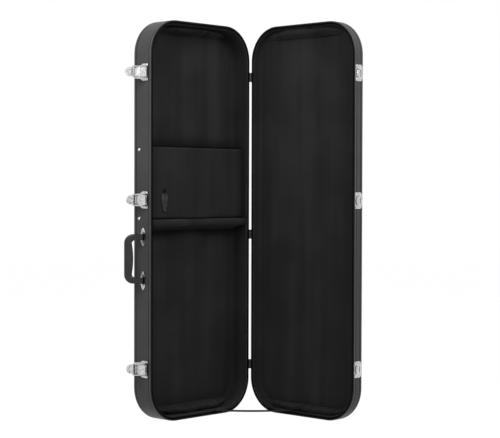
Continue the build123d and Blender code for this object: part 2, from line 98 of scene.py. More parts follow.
# %% [markdown]
# ## Shader sums
# A finish is mostly arithmetic on a few patterns. Wiring Math nodes by hand hides that, so a small
# class wraps an output socket, and adding or multiplying two of them adds the node. Every other
# node comes from one method, which takes its type, its settings and what goes into its sockets.

# %% A wire and a paint


class Wire:
    """An output socket of a shader node. Arithmetic on it adds Math nodes."""

    def __init__(self, nodes, socket):
        self.nodes = nodes
        self.socket = socket

    def sum(self, operation, first, second):
        return self.nodes.node("ShaderNodeMath", {"operation": operation}, {0: first, 1: second})

    def __add__(self, other):
        return self.sum("ADD", self, other)

    def __sub__(self, other):
        return self.sum("SUBTRACT", self, other)

    def __rsub__(self, other):
        return self.sum("SUBTRACT", other, self)

    def __mul__(self, other):
        return self.sum("MULTIPLY", self, other)

    def __pow__(self, other):
        return self.sum("POWER", self, other)

    __radd__, __rmul__ = __add__, __mul__


class Nodes:
    """A node tree that grows by one method."""

    def __init__(self, tree):
        self.tree = tree

    def node(self, kind, settings=None, inputs=None, out=0):
        made = self.tree.nodes.new(kind)
        for key, value in (settings or {}).items():
            setattr(made, key, value)
        for key, value in (inputs or {}).items():
            self.feed(made.inputs[key], value)
        return Wire(self, made.outputs[out])

    def feed(self, socket, value):
        if isinstance(value, Wire):
            self.tree.links.new(value.socket, socket)
        else:
            socket.default_value = value

    def seen_directly(self):
        """1 for rays from the camera, a glossy surface or a clear one, 0 for scattered light."""
        kinds = ("Is Camera Ray", "Is Glossy Ray", "Is Transmission Ray")
        camera_ray, glossy, clear = (self.node("ShaderNodeLightPath", out=kind) for kind in kinds)
        return camera_ray + glossy + clear


class Paint(Nodes):
    """A material: fixed values on its shader, and nodes for what changes over the surface."""

    def __init__(self, name, fixed):
        self.material = bpy.data.materials.new(name)
        self.material.use_nodes = True
        super().__init__(self.material.node_tree)
        self.shader = self.tree.nodes["Principled BSDF"]
        for socket, value in fixed.items():
            self.shader.inputs[socket].default_value = value
        self.place = self.node("ShaderNodeTexCoord", out="Object")

    def set(self, **varying):
        for name, value in varying.items():
            self.feed(self.shader.inputs[name.replace("_", " ")], value)

    def noise(self, scale, detail=2.0, where=None):
        inputs = {"Vector": where or self.place, "Scale": scale, "Detail": detail}
        return self.node("ShaderNodeTexNoise", {}, inputs)

    def cells(self, scale, smooth=0.4):
        inputs = {"Vector": self.place, "Scale": scale, "Smoothness": smooth}
        return self.node("ShaderNodeTexVoronoi", {"feature": "SMOOTH_F1"}, inputs)

    def stretched(self, x, y, z):
        """Coordinates with each axis multiplied, so that a pattern on them runs along one."""
        factors = {0: self.place, 1: (x, y, z)}
        return self.node("ShaderNodeVectorMath", {"operation": "MULTIPLY"}, factors)

    def step(self, value, low, high):
        """0 below low, 1 above high, and smooth between."""
        inputs = {"Value": value, "From Min": low, "From Max": high}
        return self.node("ShaderNodeMapRange", {"interpolation_type": "SMOOTHSTEP"}, inputs)

    def mix(self, mask, first, second):
        """A colour between two, each a wire or three numbers."""
        ends = [c if isinstance(c, Wire) else (*c, 1) for c in (first, second)]
        inputs = {0: mask, 6: ends[0], 7: ends[1]}
        return self.node("ShaderNodeMix", {"data_type": "RGBA"}, inputs, out=2)

    def bump(self, height, depth, strength=1.0):
        inputs = {"Height": height, "Distance": depth, "Strength": strength}
        return self.node("ShaderNodeBump", {}, inputs)

    def axis(self, name):
        return self.node("ShaderNodeSeparateXYZ", {}, {0: self.place}, out=name)

    def open_air(self, reach):
        """1 on open faces, falling to 0 in corners and under edges within reach."""
        return self.node("ShaderNodeAmbientOcclusion", {"samples": 8}, {"Distance": reach}, out="AO")


def grey(value):
    return (value, value, value)


print("wires, nodes and paints are ready")

# %% [markdown]
# ## Grained vinyl
# The covering is a thin black vinyl on cloth, rolled with a pebble grain of about one and a half
# millimetres. It could be an image of real leather, but cells with a soft edge give the same
# pebbles at the right size on every wall. A slow noise makes the gloss uneven, as hands and dust
# do, and finer grain inside each pebble breaks its highlight. The sheet over the back is lapped
# over the sheet round the wall, and both are tucked under the rim, so two dark lines run round
# each half. They are masks on the distance from the rim, which is one axis of each half. The fold
# over the rim is painted paler than the walls, as a highlight along the rim, but its narrow front,
# which meets the other half, stays dark. That is a mask on the same axis.

# %% Vinyl for the walls, the panels and the folded rim
PEBBLE = 1.5 * MM
GRAIN_DEPTH = 0.22 * MM
LINE_HALF = 0.9 * MM
LINE_SOFT = 0.8 * MM
LINE_SUNK = 1.5
FRONT_ENDS, FRONT_CLEAR = 0.5 * MM, 0.9 * MM
DEEP_BLACK = grey(0.004)


def line_at(paint, along, place):
    """1 on a thin band where the coordinate equals place, 0 away from it."""
    off = paint.node("ShaderNodeMath", {"operation": "ABSOLUTE"}, {0: along - place})
    return 1 - paint.step(off, LINE_HALF, LINE_HALF + LINE_SOFT)


def vinyl(name, dark, light, rough, lines=(), front=None):
    """A vinyl between two greys. Each of lines is the axis and place of a lap or a tuck that runs
    round the half, and front is the axis and place of a rim's dark front."""
    paint = Paint(name, {"Specular IOR Level": 0.22})
    wear = paint.step(paint.noise(9.0, 4.0), 0.35, 0.75)
    grain = paint.cells(1 / PEBBLE)
    fine = paint.noise(3 / PEBBLE, 2.0)
    colour = paint.mix(wear, grey(dark), grey(light))
    height = grain * 0.8 + fine * 0.3
    if lines:
        groove = sum(line_at(paint, paint.axis(axis), place) for axis, place in lines)
        colour = paint.mix(groove, colour, DEEP_BLACK)
        height = height - LINE_SUNK * groove
    if front:
        axis, place = front
        behind = paint.step(paint.axis(axis), place + FRONT_ENDS, place + FRONT_CLEAR)
        colour = paint.mix(behind, DEEP_BLACK, colour)
    paint.set(
        Base_Color=colour,
        Roughness=rough + 0.08 * wear - 0.06 * grain,
        Normal=paint.bump(height, GRAIN_DEPTH, 0.8),
    )
    return paint


print("vinyl with pebbles of", PEBBLE, "m")

# %% [markdown]
# ## Where the dark lines run
# The deep half opens along Y and the lid along X. Each half has a line just behind the front of
# its wall, where the sheet is tucked, and one a little way in from its back, where it's lapped.

# %% Vinyl on each half
TUCK_FROM_RIM = 0.6 * MM
LAP_FROM_BACK = 12 * MM
wall_front = {"base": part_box("base_wall")[0].y, "lid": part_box("lid_wall")[0].x}
panel_back = {"base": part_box("base_panel")[1].y, "lid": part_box("lid_panel")[1].x}
base_lines = (("Y", wall_front["base"] + TUCK_FROM_RIM), ("Y", panel_back["base"] - LAP_FROM_BACK))
lid_lines = (("X", wall_front["lid"] + TUCK_FROM_RIM), ("X", panel_back["lid"] - LAP_FROM_BACK))
base_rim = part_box("base_rim_trim")[0].y
lid_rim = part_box("lid_rim_trim")[0].x
base_vinyl = vinyl("grained_vinyl_base", 0.036, 0.052, 0.46, lines=base_lines)
# The lid's vinyl is a slightly lighter copy of the deep half's: painted light.
lid_vinyl = vinyl("grained_vinyl_lid", 0.040, 0.056, 0.46, lines=lid_lines)
# The folds over the rims are painted paler than the walls: a painted highlight.
base_fold = vinyl("folded_vinyl_base", 0.060, 0.078, 0.42, front=("Y", base_rim))
lid_fold = vinyl("folded_vinyl_lid", 0.060, 0.078, 0.42, front=("X", lid_rim))
print("dark lines on the deep half at", base_lines, "and on the lid at", lid_lines)

# %% [markdown]
# ## Plush
# The lining is a short black pile on thin foam. Pile has no gloss, but it catches light at a
# glancing angle, which the shader's sheen gives. Hands brush it into streaks, lighter where the
# pile leans away. Two noises make them: one stretched along the case and one in soft patches.
# In folds and corners the colour is darkened toward black as painted shade: that could be painted
# by hand, but the openness of each spot gives it everywhere.

# %% Plush for the linings
PILE = 0.55 * MM
PILE_DEPTH = 0.5 * MM
FOLD_SHADE_REACH = 42 * MM
FOLD_SHADE_BLACK = 0.15


def plush(name, dark, light, fold_shade_power=1.6, sheen=0.10, reach=FOLD_SHADE_REACH):
    """A pile between two greys. Painted shade darkens it in folds narrower than reach, and the
    fourth argument sets how strongly."""
    paint = Paint(name, {"Specular IOR Level": 0.1, "Sheen Weight": sheen,
                         "Sheen Roughness": 0.5, "Sheen Tint": (0.5, 0.5, 0.5, 1)})
    streaks = paint.noise(1.0, 2.0, paint.stretched(21, 21, 1.2))
    patches = paint.noise(9.0, 2.0)
    brushed = paint.step(streaks * 0.6 + patches * 0.4, 0.36, 0.68)
    fibres = paint.noise(1 / PILE, 3.0)
    leaning = brushed * 0.75 + fibres * 0.25
    # Painted shade: the colour falls toward black in folds and corners within reach.
    painted_fold_shade = paint.open_air(reach) ** fold_shade_power
    shade = paint.mix(leaning, grey(dark), grey(light))
    paint.set(
        Base_Color=paint.mix(painted_fold_shade, grey(dark * FOLD_SHADE_BLACK), shade),
        Roughness=0.92 - 0.12 * brushed,
        Normal=paint.bump(fibres + patches * 0.4, PILE_DEPTH, 0.7),
    )
    return paint


lining_plush = plush("black_plush", 0.0105, 0.0205)
# The ridge and the board take a slightly darker plush with weaker, shorter painted shade.
ridge_plush = plush("ridge_plush_soft_shade", 0.0095, 0.0185, fold_shade_power=0.9, reach=14 * MM)
board_plush = plush("board_plush", 0.0095, 0.0185, fold_shade_power=0.7, reach=12 * MM)
# A near-black plush with no sheen: painted shade in the tucks and on the upper divider's pad.
shade_black_plush = plush("painted_shade_plush", 0.0010, 0.0030, sheen=0.0)
print("plush pile", PILE, "m")

# %% [markdown]
# ## Nickel plate
# The latches, catches, brackets, rivets and studs are pressed steel with bright nickel. Polishing
# leaves hairlines along the part, and handling leaves the gloss cloudy, so the roughness carries
# both. The plate is a pale metal colour with small darker spots at random.
# Where two pressings meet, a mask of how open each spot is darkens the metal toward black: that
# is painted shade.

# %% Nickel
SEAM_SHADE_REACH = 5 * MM
SEAM_SHADE_POWER = 3.6
nickel = Paint("nickel_plate", {"Metallic": 1.0})
hairlines = nickel.noise(1.0, 2.0, nickel.stretched(2600, 2600, 320))
clouds = nickel.noise(160.0, 3.0)
dark_spots = nickel.step(nickel.noise(380.0, 3.0), 0.46, 0.64)
# Painted shade: the colour falls toward black where pressings meet and under edges.
seam_shade = nickel.open_air(SEAM_SHADE_REACH) ** SEAM_SHADE_POWER
nickel.set(
    Base_Color=nickel.mix(seam_shade, grey(0.015), nickel.mix(dark_spots, grey(0.66), grey(0.30))),
    Roughness=0.20 + 0.12 * hairlines + 0.10 * clouds,
    Normal=nickel.bump(hairlines * 0.5 + clouds, 0.05 * MM, 0.5),
)
print("nickel with seams darkened within", SEAM_SHADE_REACH, "m")

# %% [markdown]
# ## Black steel and moulded plastic
# The hinges are japanned steel, a baked black lacquer with fine specks. The handle is moulded
# plastic with a spark finish from its mould, which hands polish in patches. Each could be one flat
# black, but the two then look like one material, so each gets its own gloss and grain.

# %% Black steel and moulded plastic
black_steel = Paint("japanned_steel", {"Specular IOR Level": 0.5})
specks = black_steel.noise(900.0, 3.0)
black_steel.set(
    Base_Color=black_steel.mix(specks, grey(0.010), grey(0.022)),
    Roughness=0.34 + 0.14 * specks,
    Normal=black_steel.bump(specks, 0.06 * MM, 0.5),
)

moulded = Paint("moulded_plastic", {"Specular IOR Level": 0.36})
spark = moulded.noise(1500.0, 2.0)
handling = moulded.step(moulded.noise(40.0, 3.0), 0.4, 0.7)
moulded.set(
    Base_Color=moulded.mix(handling, grey(0.009), grey(0.016)),
    Roughness=0.30 + 0.10 * spark - 0.06 * handling,
    Normal=moulded.bump(spark, 0.08 * MM, 0.5),
)
print("two black finishes for the hinges and the handle")

# %% [markdown]
# ## Leather, webbing and thread
# The pull tab is smooth black leather with a fine crackle, sewn with waxed thread. The lid's strap
# is narrow woven webbing. Its weave could be an image, but it's only two crossed waves, one thread
# up where the other is down, so two sines give it at the right size.

# %% Leather, webbing and thread
leather = Paint("tab_leather", {"Specular IOR Level": 0.4})
CRACKLE = 0.8 * MM
crackle = leather.cells(1 / CRACKLE, 0.2)
scuff = leather.step(leather.noise(70.0, 4.0), 0.4, 0.7)
leather.set(
    Base_Color=leather.mix(scuff, grey(0.012), grey(0.034)),
    Roughness=0.42 + 0.14 * scuff,
    Normal=leather.bump(crackle, 0.12 * MM, 0.7),
)

webbing = Paint("stay_webbing", {"Specular IOR Level": 0.15, "Sheen Weight": 0.05})
YARN = 1.1 * MM
turns = math.tau / (YARN * math.sqrt(2))
warp = (webbing.axis("X") + webbing.axis("Y")) * turns
weft = (webbing.axis("X") - webbing.axis("Y")) * turns
warp_wave = webbing.node("ShaderNodeMath", {"operation": "SINE"}, {0: warp})
weft_wave = webbing.node("ShaderNodeMath", {"operation": "SINE"}, {0: weft})
weave = warp_wave * weft_wave * 0.5 + 0.5
webbing.set(
    Base_Color=webbing.mix(weave, grey(0.004), grey(0.014)),
    Roughness=0.85 - 0.1 * weave,
    Normal=webbing.bump(weave, 0.25 * MM, 0.8),
)

thread = Paint("waxed_thread", {"Specular IOR Level": 0.3})
ply = thread.noise(1800.0, 2.0)
thread.set(Base_Color=thread.mix(ply, grey(0.02), grey(0.05)), Roughness=0.6 + 0.2 * ply)
print("webbing with yarns of", YARN, "m")

# %% [markdown]
# ## Finishes on the hard parts
# The hard parts come from the construction with their true shapes, so they only need a finish and
# softened edges. Real pressed steel and folded vinyl have no knife edges. A small bevel on every
# sharp edge gives each a thin highlight, and is laid over the part without moving it.

# %% Dress the hard parts
FINISHES = {
    "black_vinyl": base_vinyl,
    "rim_vinyl": base_fold,
    "nickel": nickel,
    "black_metal": black_steel,
    "handle_plastic": moulded,
    "black_plush": lining_plush,
    "tab_leather": leather,
    "stay_webbing": webbing,
}
LID_FINISHES = {"black_vinyl": lid_vinyl, "rim_vinyl": lid_fold}
EDGE_ROUND = {"black_vinyl": 0.5, "rim_vinyl": 0.5, "nickel": 0.22, "black_metal": 0.25,
              "handle_plastic": 0.3}
SHARP = math.radians(35)
slots = {part["node"]: part["material_slot"] for part in frame["record"]["subparts"]}


def soften(piece, width):
    edge = piece.modifiers.new("soft_edges", "BEVEL")
    edge.width = width
    edge.segments = 2
    edge.limit_method = "ANGLE"
    edge.angle_limit = SHARP
    edge.harden_normals = True


for node, part in frame["nodes"].items():
    slot = slots[node]
    part.data.materials.clear()
    on_half = LID_FINISHES if node.startswith("lid") else FINISHES
    part.data.materials.append(on_half.get(slot, FINISHES[slot]).material)
    if slot in EDGE_ROUND:
        soften(part, EDGE_ROUND[slot] * MM)
print("dressed", len(frame["nodes"]), "parts")

# %% [markdown]
# ## Working inside the two halves
# Every lining follows the same rounded outline, set in from the wall, in a half that opens a
# different way. So each half gets its own simple coordinates: across the case, deep behind its
# rim, and up. A piece is then drawn once, in those, and placed in either half.

# %% The two halves
OUTER_CORNER = 90 * MM
case_low, case_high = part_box("base_wall")
case_height = case_high.z - case_low.z
half_width = (case_high.x - case_low.x) / 2
lid_low, lid_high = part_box("lid_rim_trim")
lid_middle = (lid_low.y + lid_high.y) / 2


def in_base(across, depth, up):
    return Vector((across, base_rim + depth, up))


def in_lid(across, depth, up):
    return Vector((lid_rim + depth, lid_middle + across, up))


def depth_at(node, end):
    """How deep behind its rim a part starts, for end 0, or stops, for end 1."""
    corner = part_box(node)[end]
    return corner.x - lid_rim if node.startswith("lid") else corner.y - base_rim


# Each half's body, its coordinates and the depth of its floor lining.
HALVES = (("base", in_base, depth_at("base_floor_lining", 0)),
          ("lid", in_lid, depth_at("lid_floor_lining", 0)))
print("case", round(2 * half_width, 4), "by", round(case_height, 4), "m, deep rim at", base_rim)

# %% [markdown]
# ## The outline
# The outline is a rectangle with four round corners. It could be a curve object, but the linings
# need to know which way is outward at each point, so a loop walks round it: an arc at each corner
# and then the straight run to the next one.

# %% Outline of the case
ARC_STEPS = 18
# Each corner's side of the middle, across and up, and the way of the straight run after it.
CORNERS = (((1, 1), (-1, 0)), ((-1, 1), (0, -1)), ((-1, -1), (1, 0)), ((1, -1), (0, 1)))


def width_at(up, inset):
    """Half the width inside the outline, set in by inset, at a height."""
    corner = OUTER_CORNER - inset
    past = max(0.0, abs(up - case_height / 2) - (case_height / 2 - OUTER_CORNER))
    past = min(past, corner)
    return half_width - OUTER_CORNER + math.sqrt(corner * corner - past * past)


def outline(gap=14 * MM):
    """Points (across, up) round the outline, with their outward directions. They are about gap
    apart on the straight runs."""
    x, z = half_width - OUTER_CORNER, case_height / 2 - OUTER_CORNER
    found = []
    for quarter, ((side_x, side_z), (run_x, run_z)) in enumerate(CORNERS):
        for i in range(ARC_STEPS + 1):
            a = math.radians(90) * (quarter + i / ARC_STEPS)
            out = (math.cos(a), math.sin(a))
            found.append((side_x * x + OUTER_CORNER * out[0], side_z * z + OUTER_CORNER * out[1], out))
        run = 2 * (x if run_x else z)
        count = int(run / gap)
        across, up, out = found[-1]
        for i in range(1, count):
            shift = run * i / count
            found.append((across + run_x * shift, up + run_z * shift, out))
    return [(across, up + case_height / 2, out) for across, up, out in found]


print("outline of", len(outline()), "points")

# %% [markdown]
# ## Skins and pillows
# Two shapes make every soft part. A skin runs a closed section along a path, as a sewn lining or a
# padded roll does. A pillow has a front and a back grid joined round their edges, as a board or
# a floor pad does. Both are closed, so they hold volume, and both are smooth shaded.

# %% Meshes from sections and grids


def skin(rings, loop):
    """Points and faces of a tube through rings of points, closed on itself or capped."""
    size = len(rings[0])
    points = [p for ring in rings for p in ring]
    faces = []
    for i in range(len(rings) if loop else len(rings) - 1):
        a, b = i * size, (i + 1) % len(rings) * size
        faces += [(a + j, a + (j + 1) % size, b + (j + 1) % size, b + j) for j in range(size)]
    if not loop:
        faces.append(tuple(reversed(range(size))))
        faces.append(tuple(range(len(points) - size, len(points))))
    return points, faces


def grid(columns, rows, point):
    """Rows of point(s, t), with s from 0 to 1 across and t from 0 to 1 up."""
    return [[point(j / columns, i / rows) for j in range(columns + 1)] for i in range(rows + 1)]


def pillow(front, back):
    """Points and faces between two grids of the same size, joined round their edges."""
    rows, columns = len(front), len(front[0])
    points = [p for side in (front, back) for row in side for p in row]
    count = rows * columns
    faces = []
    for i in range(rows - 1):
        for j in range(columns - 1):
            a = i * columns + j
            quad = (a, a + 1, a + columns + 1, a + columns)
            faces.append(quad)
            faces.append(tuple(count + k for k in reversed(quad)))
    edge = list(range(columns))
    edge += [i * columns + columns - 1 for i in range(1, rows)]
    edge += [(rows - 1) * columns + j for j in range(columns - 2, -1, -1)]
    edge += [i * columns for i in range(rows - 2, 0, -1)]
    for a, b in zip(edge, edge[1:] + edge[:1]):
        faces.append((b, a, count + a, count + b))
    return points, faces


def make_piece(name, shape, paint, rounds=1):
    """A smooth shaded object from points and faces, with outward normals. rounds is how often its
    faces are split to round them."""
    points, faces = shape
    mesh = bpy.data.meshes.new(name)
    mesh.from_pydata(points, [], faces)
    mesh.polygons.foreach_set("use_smooth", [True] * len(mesh.polygons))
    mesh.materials.append(paint.material)
    piece = bpy.data.objects.new(name, mesh)
    scene.collection.objects.link(piece)
    bpy.context.view_layer.objects.active = piece
    bpy.ops.object.mode_set(mode="EDIT")
    bpy.ops.mesh.select_all(action="SELECT")
    bpy.ops.mesh.normals_make_consistent(inside=False)
    bpy.ops.object.mode_set(mode="OBJECT")
    if rounds:
        rounding = piece.modifiers.new("rounding", "SUBSURF")
        rounding.levels = rounding.render_levels = rounds
    print(name, len(mesh.vertices), "points")
    return piece


print("skins, grids and pillows are ready")

# %% [markdown]
# ## Soft edges and ripples
# Cloth is never quite flat and foam never ends in a corner. Four small functions say so: one keeps
# a number between 0 and 1, one eases it, one gives the round of a foam edge, and one is a smooth
# ripple that depends only on the place, so that every run gives the same cloth.

# %% Edges and ripples


def within(value):
    """The value, kept from 0 to 1."""
    return min(1.0, max(0.0, value))


def eased(share):
    """A share from 0 to 1 that starts and stops gently."""
    return share * share * (3 - 2 * share)


def edge_fall(distance, reach):
    """0 at an edge, 1 past reach, rounded like a foam edge."""
    return math.sqrt(1 - (1 - within(distance / reach)) ** 2)


def ripple(scale, *where):
    """A smooth value from -1 to 1 that depends only on the place."""
    return noise.noise(Vector(where) / scale)


print("a foam edge is half risen", round(1 - math.sqrt(0.75), 3), "of its reach in")

# %% [markdown]
# ## Side linings
# A strip of plush on foam runs round inside the walls of each half. Its edge is turned in at the
# rim, which makes a soft lip, and at the floor it rounds into the floor pad. It could be cut from
# an offset of the wall, but a section run round the outline gives the lip and the cove as well,
# and small ripples along it show that it's cloth.

# %% Section of a side lining
WALL = 6.1 * MM
FACE = 10 * MM
COVE = 16 * MM
COVE_STEPS = 4


def side_section(floor, lip):
    """(inset, depth) round the strip: up the wall, over the lip, down the face, out on the floor."""
    wall = [(WALL, floor - 6 * MM), (WALL, lip + 2.6 * MM)]
    over = [(WALL + 0.5 * MM, lip + 0.7 * MM), (WALL + 1.9 * MM, lip),
            (FACE - 0.6 * MM, lip + 0.5 * MM), (FACE + 0.4 * MM, lip + 2.4 * MM),
            (FACE + 0.2 * MM, lip + 5.5 * MM)]
    face = [(FACE, lip + (floor - COVE - lip) * share) for share in (0.45, 0.8)]
    bend = []
    for i in range(COVE_STEPS + 1):
        a = math.radians(90) * i / COVE_STEPS
        bend.append((FACE + COVE * (1 - math.cos(a)), floor - COVE * (1 - math.sin(a))))
    under = [(FACE + COVE + 6 * MM, floor + 0.4 * MM), (FACE + COVE, floor + 2 * MM),
             (FACE + 2 * MM, floor + 2.4 * MM), (WALL, floor + 1.5 * MM)]
    return wall + over + face + bend + under


print("the strip is", round(FACE - WALL, 4), "m thick and ends in a cove of", COVE, "m")

# %% Side linings
PUFF = 0.7 * MM
PUFF_SPACING = 55 * MM
GLUED = 2 * MM
FREE = 3 * MM
FLOOR_HOLDS = 12 * MM
SIDE_SEEDS = {"base": 0.3, "lid": 1.7}


def side_lining(name, place, floor, lip, seed):
    """The strip round one half. Its cloth puffs where neither the wall nor the floor holds it."""
    section = side_section(floor, lip)
    rings = []
    for across, up, out in outline():
        ring = []
        for inset, depth in section:
            soft = within((inset - WALL - GLUED) / FREE) * within((floor - depth) / FLOOR_HOLDS)
            inward = inset - PUFF * soft * ripple(PUFF_SPACING, across, up, depth + seed)
            ring.append(place(across - out[0] * inward, depth, up - out[1] * inward))
        rings.append(ring)
    return make_piece(name, skin(rings, True), lining_plush)


for body, place, floor in HALVES:
    node = f"{body}_side_lining"
    strip = side_lining(f"{body}_lining_sides", place, floor, depth_at(node, 0), SIDE_SEEDS[body])
    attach(strip, body)
    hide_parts(node)

# %% [markdown]
# ## Binding tape
# A narrow matt tape covers the joint between the folded vinyl and the lining, all round both
# openings, and its near-black colour is painted shade of the gap there. It could be painted on
# the rim, but gloss can't be taken off one part of a finish, and the tape really lies on top. Its
# edge is pressed into small ribs, as a corded tape has.

# %% Binding tape
# Near black: painted shade of the gap between the rim and the lining.
gap_shade_black = Paint("binding_tape", {"Specular IOR Level": 0.02})
rib = gap_shade_black.noise(400.0, 1.0)
gap_shade_black.set(Base_Color=gap_shade_black.mix(rib, grey(0.0008), grey(0.0030)), Roughness=0.95 - 0.1 * rib)
BINDING_FROM, BINDING_TO = 3.0 * MM, 7.4 * MM
BINDING_PROUD = 0.25 * MM
RIB_LOW = 0.6
RIB_SPACING = 7 * MM


def binding_tape(name, place):
    """A flat strip round one opening. Every second section stands lower, which makes the ribs."""
    rings = []
    for number, (across, up, out) in enumerate(outline(gap=RIB_SPACING)):
        lift = BINDING_PROUD * (1.0 if number % 2 else RIB_LOW)
        section = ((BINDING_FROM, 0.3 * MM), (BINDING_FROM + 0.3 * MM, -lift),
                   (BINDING_TO - 0.8 * MM, -lift), (BINDING_TO, 0.6 * MM),
                   (BINDING_TO - 1 * MM, 1.4 * MM))
        rings.append([place(across - out[0] * inset, depth, up - out[1] * inset)
                      for inset, depth in section])
    return make_piece(name, skin(rings, True), gap_shade_black)


for body, place, floor in HALVES:
    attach(binding_tape(f"{body}_binding_tape", place), body)

# %% [markdown]
# ## Floor linings
# The floor of each half is one sheet of foam with plush over it, glued in the middle and loose at
# its edges. So it swells a little toward the middle of each bay and sinks to the cove. The lid's
# floor also keeps a long soft crease, where the cloth was drawn tight along the case.

# %% Sheet for a floor
FLOOR_INSET = 9 * MM
FLOOR_SEAT = 1.2 * MM
FLOOR_EDGE = 0.8 * MM
FLOOR_ROUND = 45 * MM


def floor_lining(name, place, floor, back, swell, columns, rows):
    """A crowned sheet inside the outline. Its back is flat on the panel."""
    low, high = FLOOR_INSET, case_height - FLOOR_INSET

    def spot(s, t):
        up = low + (high - low) * t
        wide = width_at(up, FLOOR_INSET)
        return wide * (2 * s - 1), up, wide

    def front(s, t):
        across, up, wide = spot(s, t)
        near = min(wide - abs(across), up - low, high - up)
        rise = FLOOR_EDGE + swell(across, up) * edge_fall(near, FLOOR_ROUND)
        return place(across, floor + FLOOR_SEAT - rise, up)

    def under(s, t):
        across, up, wide = spot(s, t)
        return place(across, back, up)

    shape = pillow(grid(columns, rows, front), grid(columns, rows, under))
    return make_piece(name, shape, lining_plush)


print("floor pads are set in", FLOOR_INSET, "m and round off over", FLOOR_ROUND, "m")

# %% Floor linings
CROWN = 1.8 * MM
DIP = 2.0 * MM
DIP_WIDTH = 6 * MM
DIPS_AT = (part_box("upper_divider")[1].z + 2 * MM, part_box("lower_divider")[0].z - 3 * MM)
CREASE = 1.5 * MM
CREASE_AT = 62 * MM
CREASE_WIDTH = 7 * MM
CREASE_WANDER = 5 * MM
GLUE = 0.1 * MM


def base_swell(across, up):
    """How far the deep half's floor stands up: less where a divider presses on it."""
    dip = sum(math.exp(-(((up - place) / DIP_WIDTH) ** 2)) for place in DIPS_AT)
    return CROWN + 0.8 * MM * ripple(120 * MM, across, up, 0.2) - DIP * dip


def lid_swell(across, up):
    """How far the lid's floor stands up: less along its crease."""
    bend = across + CREASE_AT + CREASE_WANDER * math.sin(up / (170 * MM))
    crease = math.exp(-((bend / CREASE_WIDTH) ** 2))
    pulls = ripple(90 * MM, across * 3.2, up * 0.35, 4.0)
    return CROWN + 0.9 * MM * pulls - CREASE * crease


# How each floor swells, and how many columns and rows its grid has.
FLOORS = {"base": (base_swell, 44, 120), "lid": (lid_swell, 70, 130)}
for body, place, floor in HALVES:
    node = f"{body}_floor_lining"
    back = depth_at(node, 1) - GLUE
    pad = floor_lining(f"{body}_lining_floor", place, floor, back, *FLOORS[body])
    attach(pad, body)
    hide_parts(node)

# %% [markdown]
# ## Tucks
# Where a pad or a divider presses on the loose floor cloth, the cloth bunches in one wandering
# fold, and the shade in it is painted. A crease could be cut into the floor's mesh, but it would
# need a far finer grid. A thin round section laid along the joint, thinner at its ends, does it
# with few faces, and its near-black finish with no sheen is the painted shade.

# %% A tuck
TUCK_SIDES = 8
TUCK_STEPS = 90
TUCK_WAVE = 1.8 * MM
TUCK_END = 0.25


def tuck(name, body, place, reach, up, depth, radius):
    """A fold across a half at a height and a depth, from -reach to reach, dark with painted shade."""
    rings = []
    for i in range(TUCK_STEPS + 1):
        share = 2 * i / TUCK_STEPS - 1
        across = reach * share
        size = radius * (TUCK_END + (1 - TUCK_END) * math.sqrt(1 - share ** 4))
        size *= 1 + 0.3 * ripple(20 * MM, across, up, 1.0)
        middle = up + TUCK_WAVE * ripple(42 * MM, across, up, 8.0)
        rings.append([place(across, depth + size * math.cos(a), middle + size * math.sin(a))
                      for a in (math.tau * k / TUCK_SIDES for k in range(TUCK_SIDES))])
    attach(make_piece(name, skin(rings, False), shade_black_plush), body)


print("a tuck has", TUCK_SIDES * (TUCK_STEPS + 1), "points")

# %% [markdown]
# ## End pads
# A roll of foam is tucked behind the plush across each end, to hold the guitar off the end wall.
# The cloth over it is loose, so it lies in long shallow waves, with a crease where it meets the
# floor that is darkened by painted shade. A pillow with a steep rounded edge gives the roll, and
# slow ripples give the waves.

# %% A roll across an end
ROLL_STEEP = 0.62
ROLL_INSET = 10.6 * MM
ROLL_CLEAR = 0.4 * MM
ROLL_ENDS = 90 * MM
ROLL_END_RISE = 0.1
EDGE_WANDER = 7 * MM
LOOSE, LOOSE_SPACING = 2.6 * MM, 30 * MM
CRINKLE, CRINKLE_SPACING = 1.0 * MM, 14 * MM


def end_pad(name, place, node, crown, back, seed):
    """A padded roll across one end, inside the node's height range."""
    low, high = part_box(node)
    z0, z1 = low.z + ROLL_CLEAR, high.z - ROLL_CLEAR
    lower_end = z0 < case_height / 2

    def spot(s, t):
        side = 2 * s - 1
        to_wall = 1 - t if lower_end else t
        up = z0 + (z1 - z0) * t
        wide = width_at(up, ROLL_INSET)
        wander = (0.6 * ripple(60 * MM, side * half_width, seed, 0)
                  + 0.4 * ripple(24 * MM, side * half_width, seed, 5 * MM))
        free = min(1.0, 2.5 * to_wall) * min(1.0, 4 * (1 - abs(side)))
        return side * wide, up + EDGE_WANDER * wander * free, wide, to_wall

    def front(s, t):
        across, up, wide, to_wall = spot(s, t)
        near = eased(min(1.0, to_wall / ROLL_STEEP))
        ends = edge_fall(wide - abs(across), ROLL_ENDS)
        loose = (LOOSE * ripple(LOOSE_SPACING, across * 0.5, up * 2.4, seed + 3)
                 + CRINKLE * ripple(CRINKLE_SPACING, across, up * 1.2, seed + 7))
        rise = (back - crown) * (ROLL_END_RISE + (1 - ROLL_END_RISE) * ends)
        return place(across, max(crown, back + (loose - rise) * near), up)

    def under(s, t):
        across, up, wide, to_wall = spot(s, t)
        return place(across, back, up)

    shape = pillow(grid(64, 14, front), grid(64, 14, under))
    piece = make_piece(name, shape, lining_plush)
    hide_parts(node)
    return piece


print("a roll stands at its full height from", ROLL_STEEP, "of the way to the end wall")

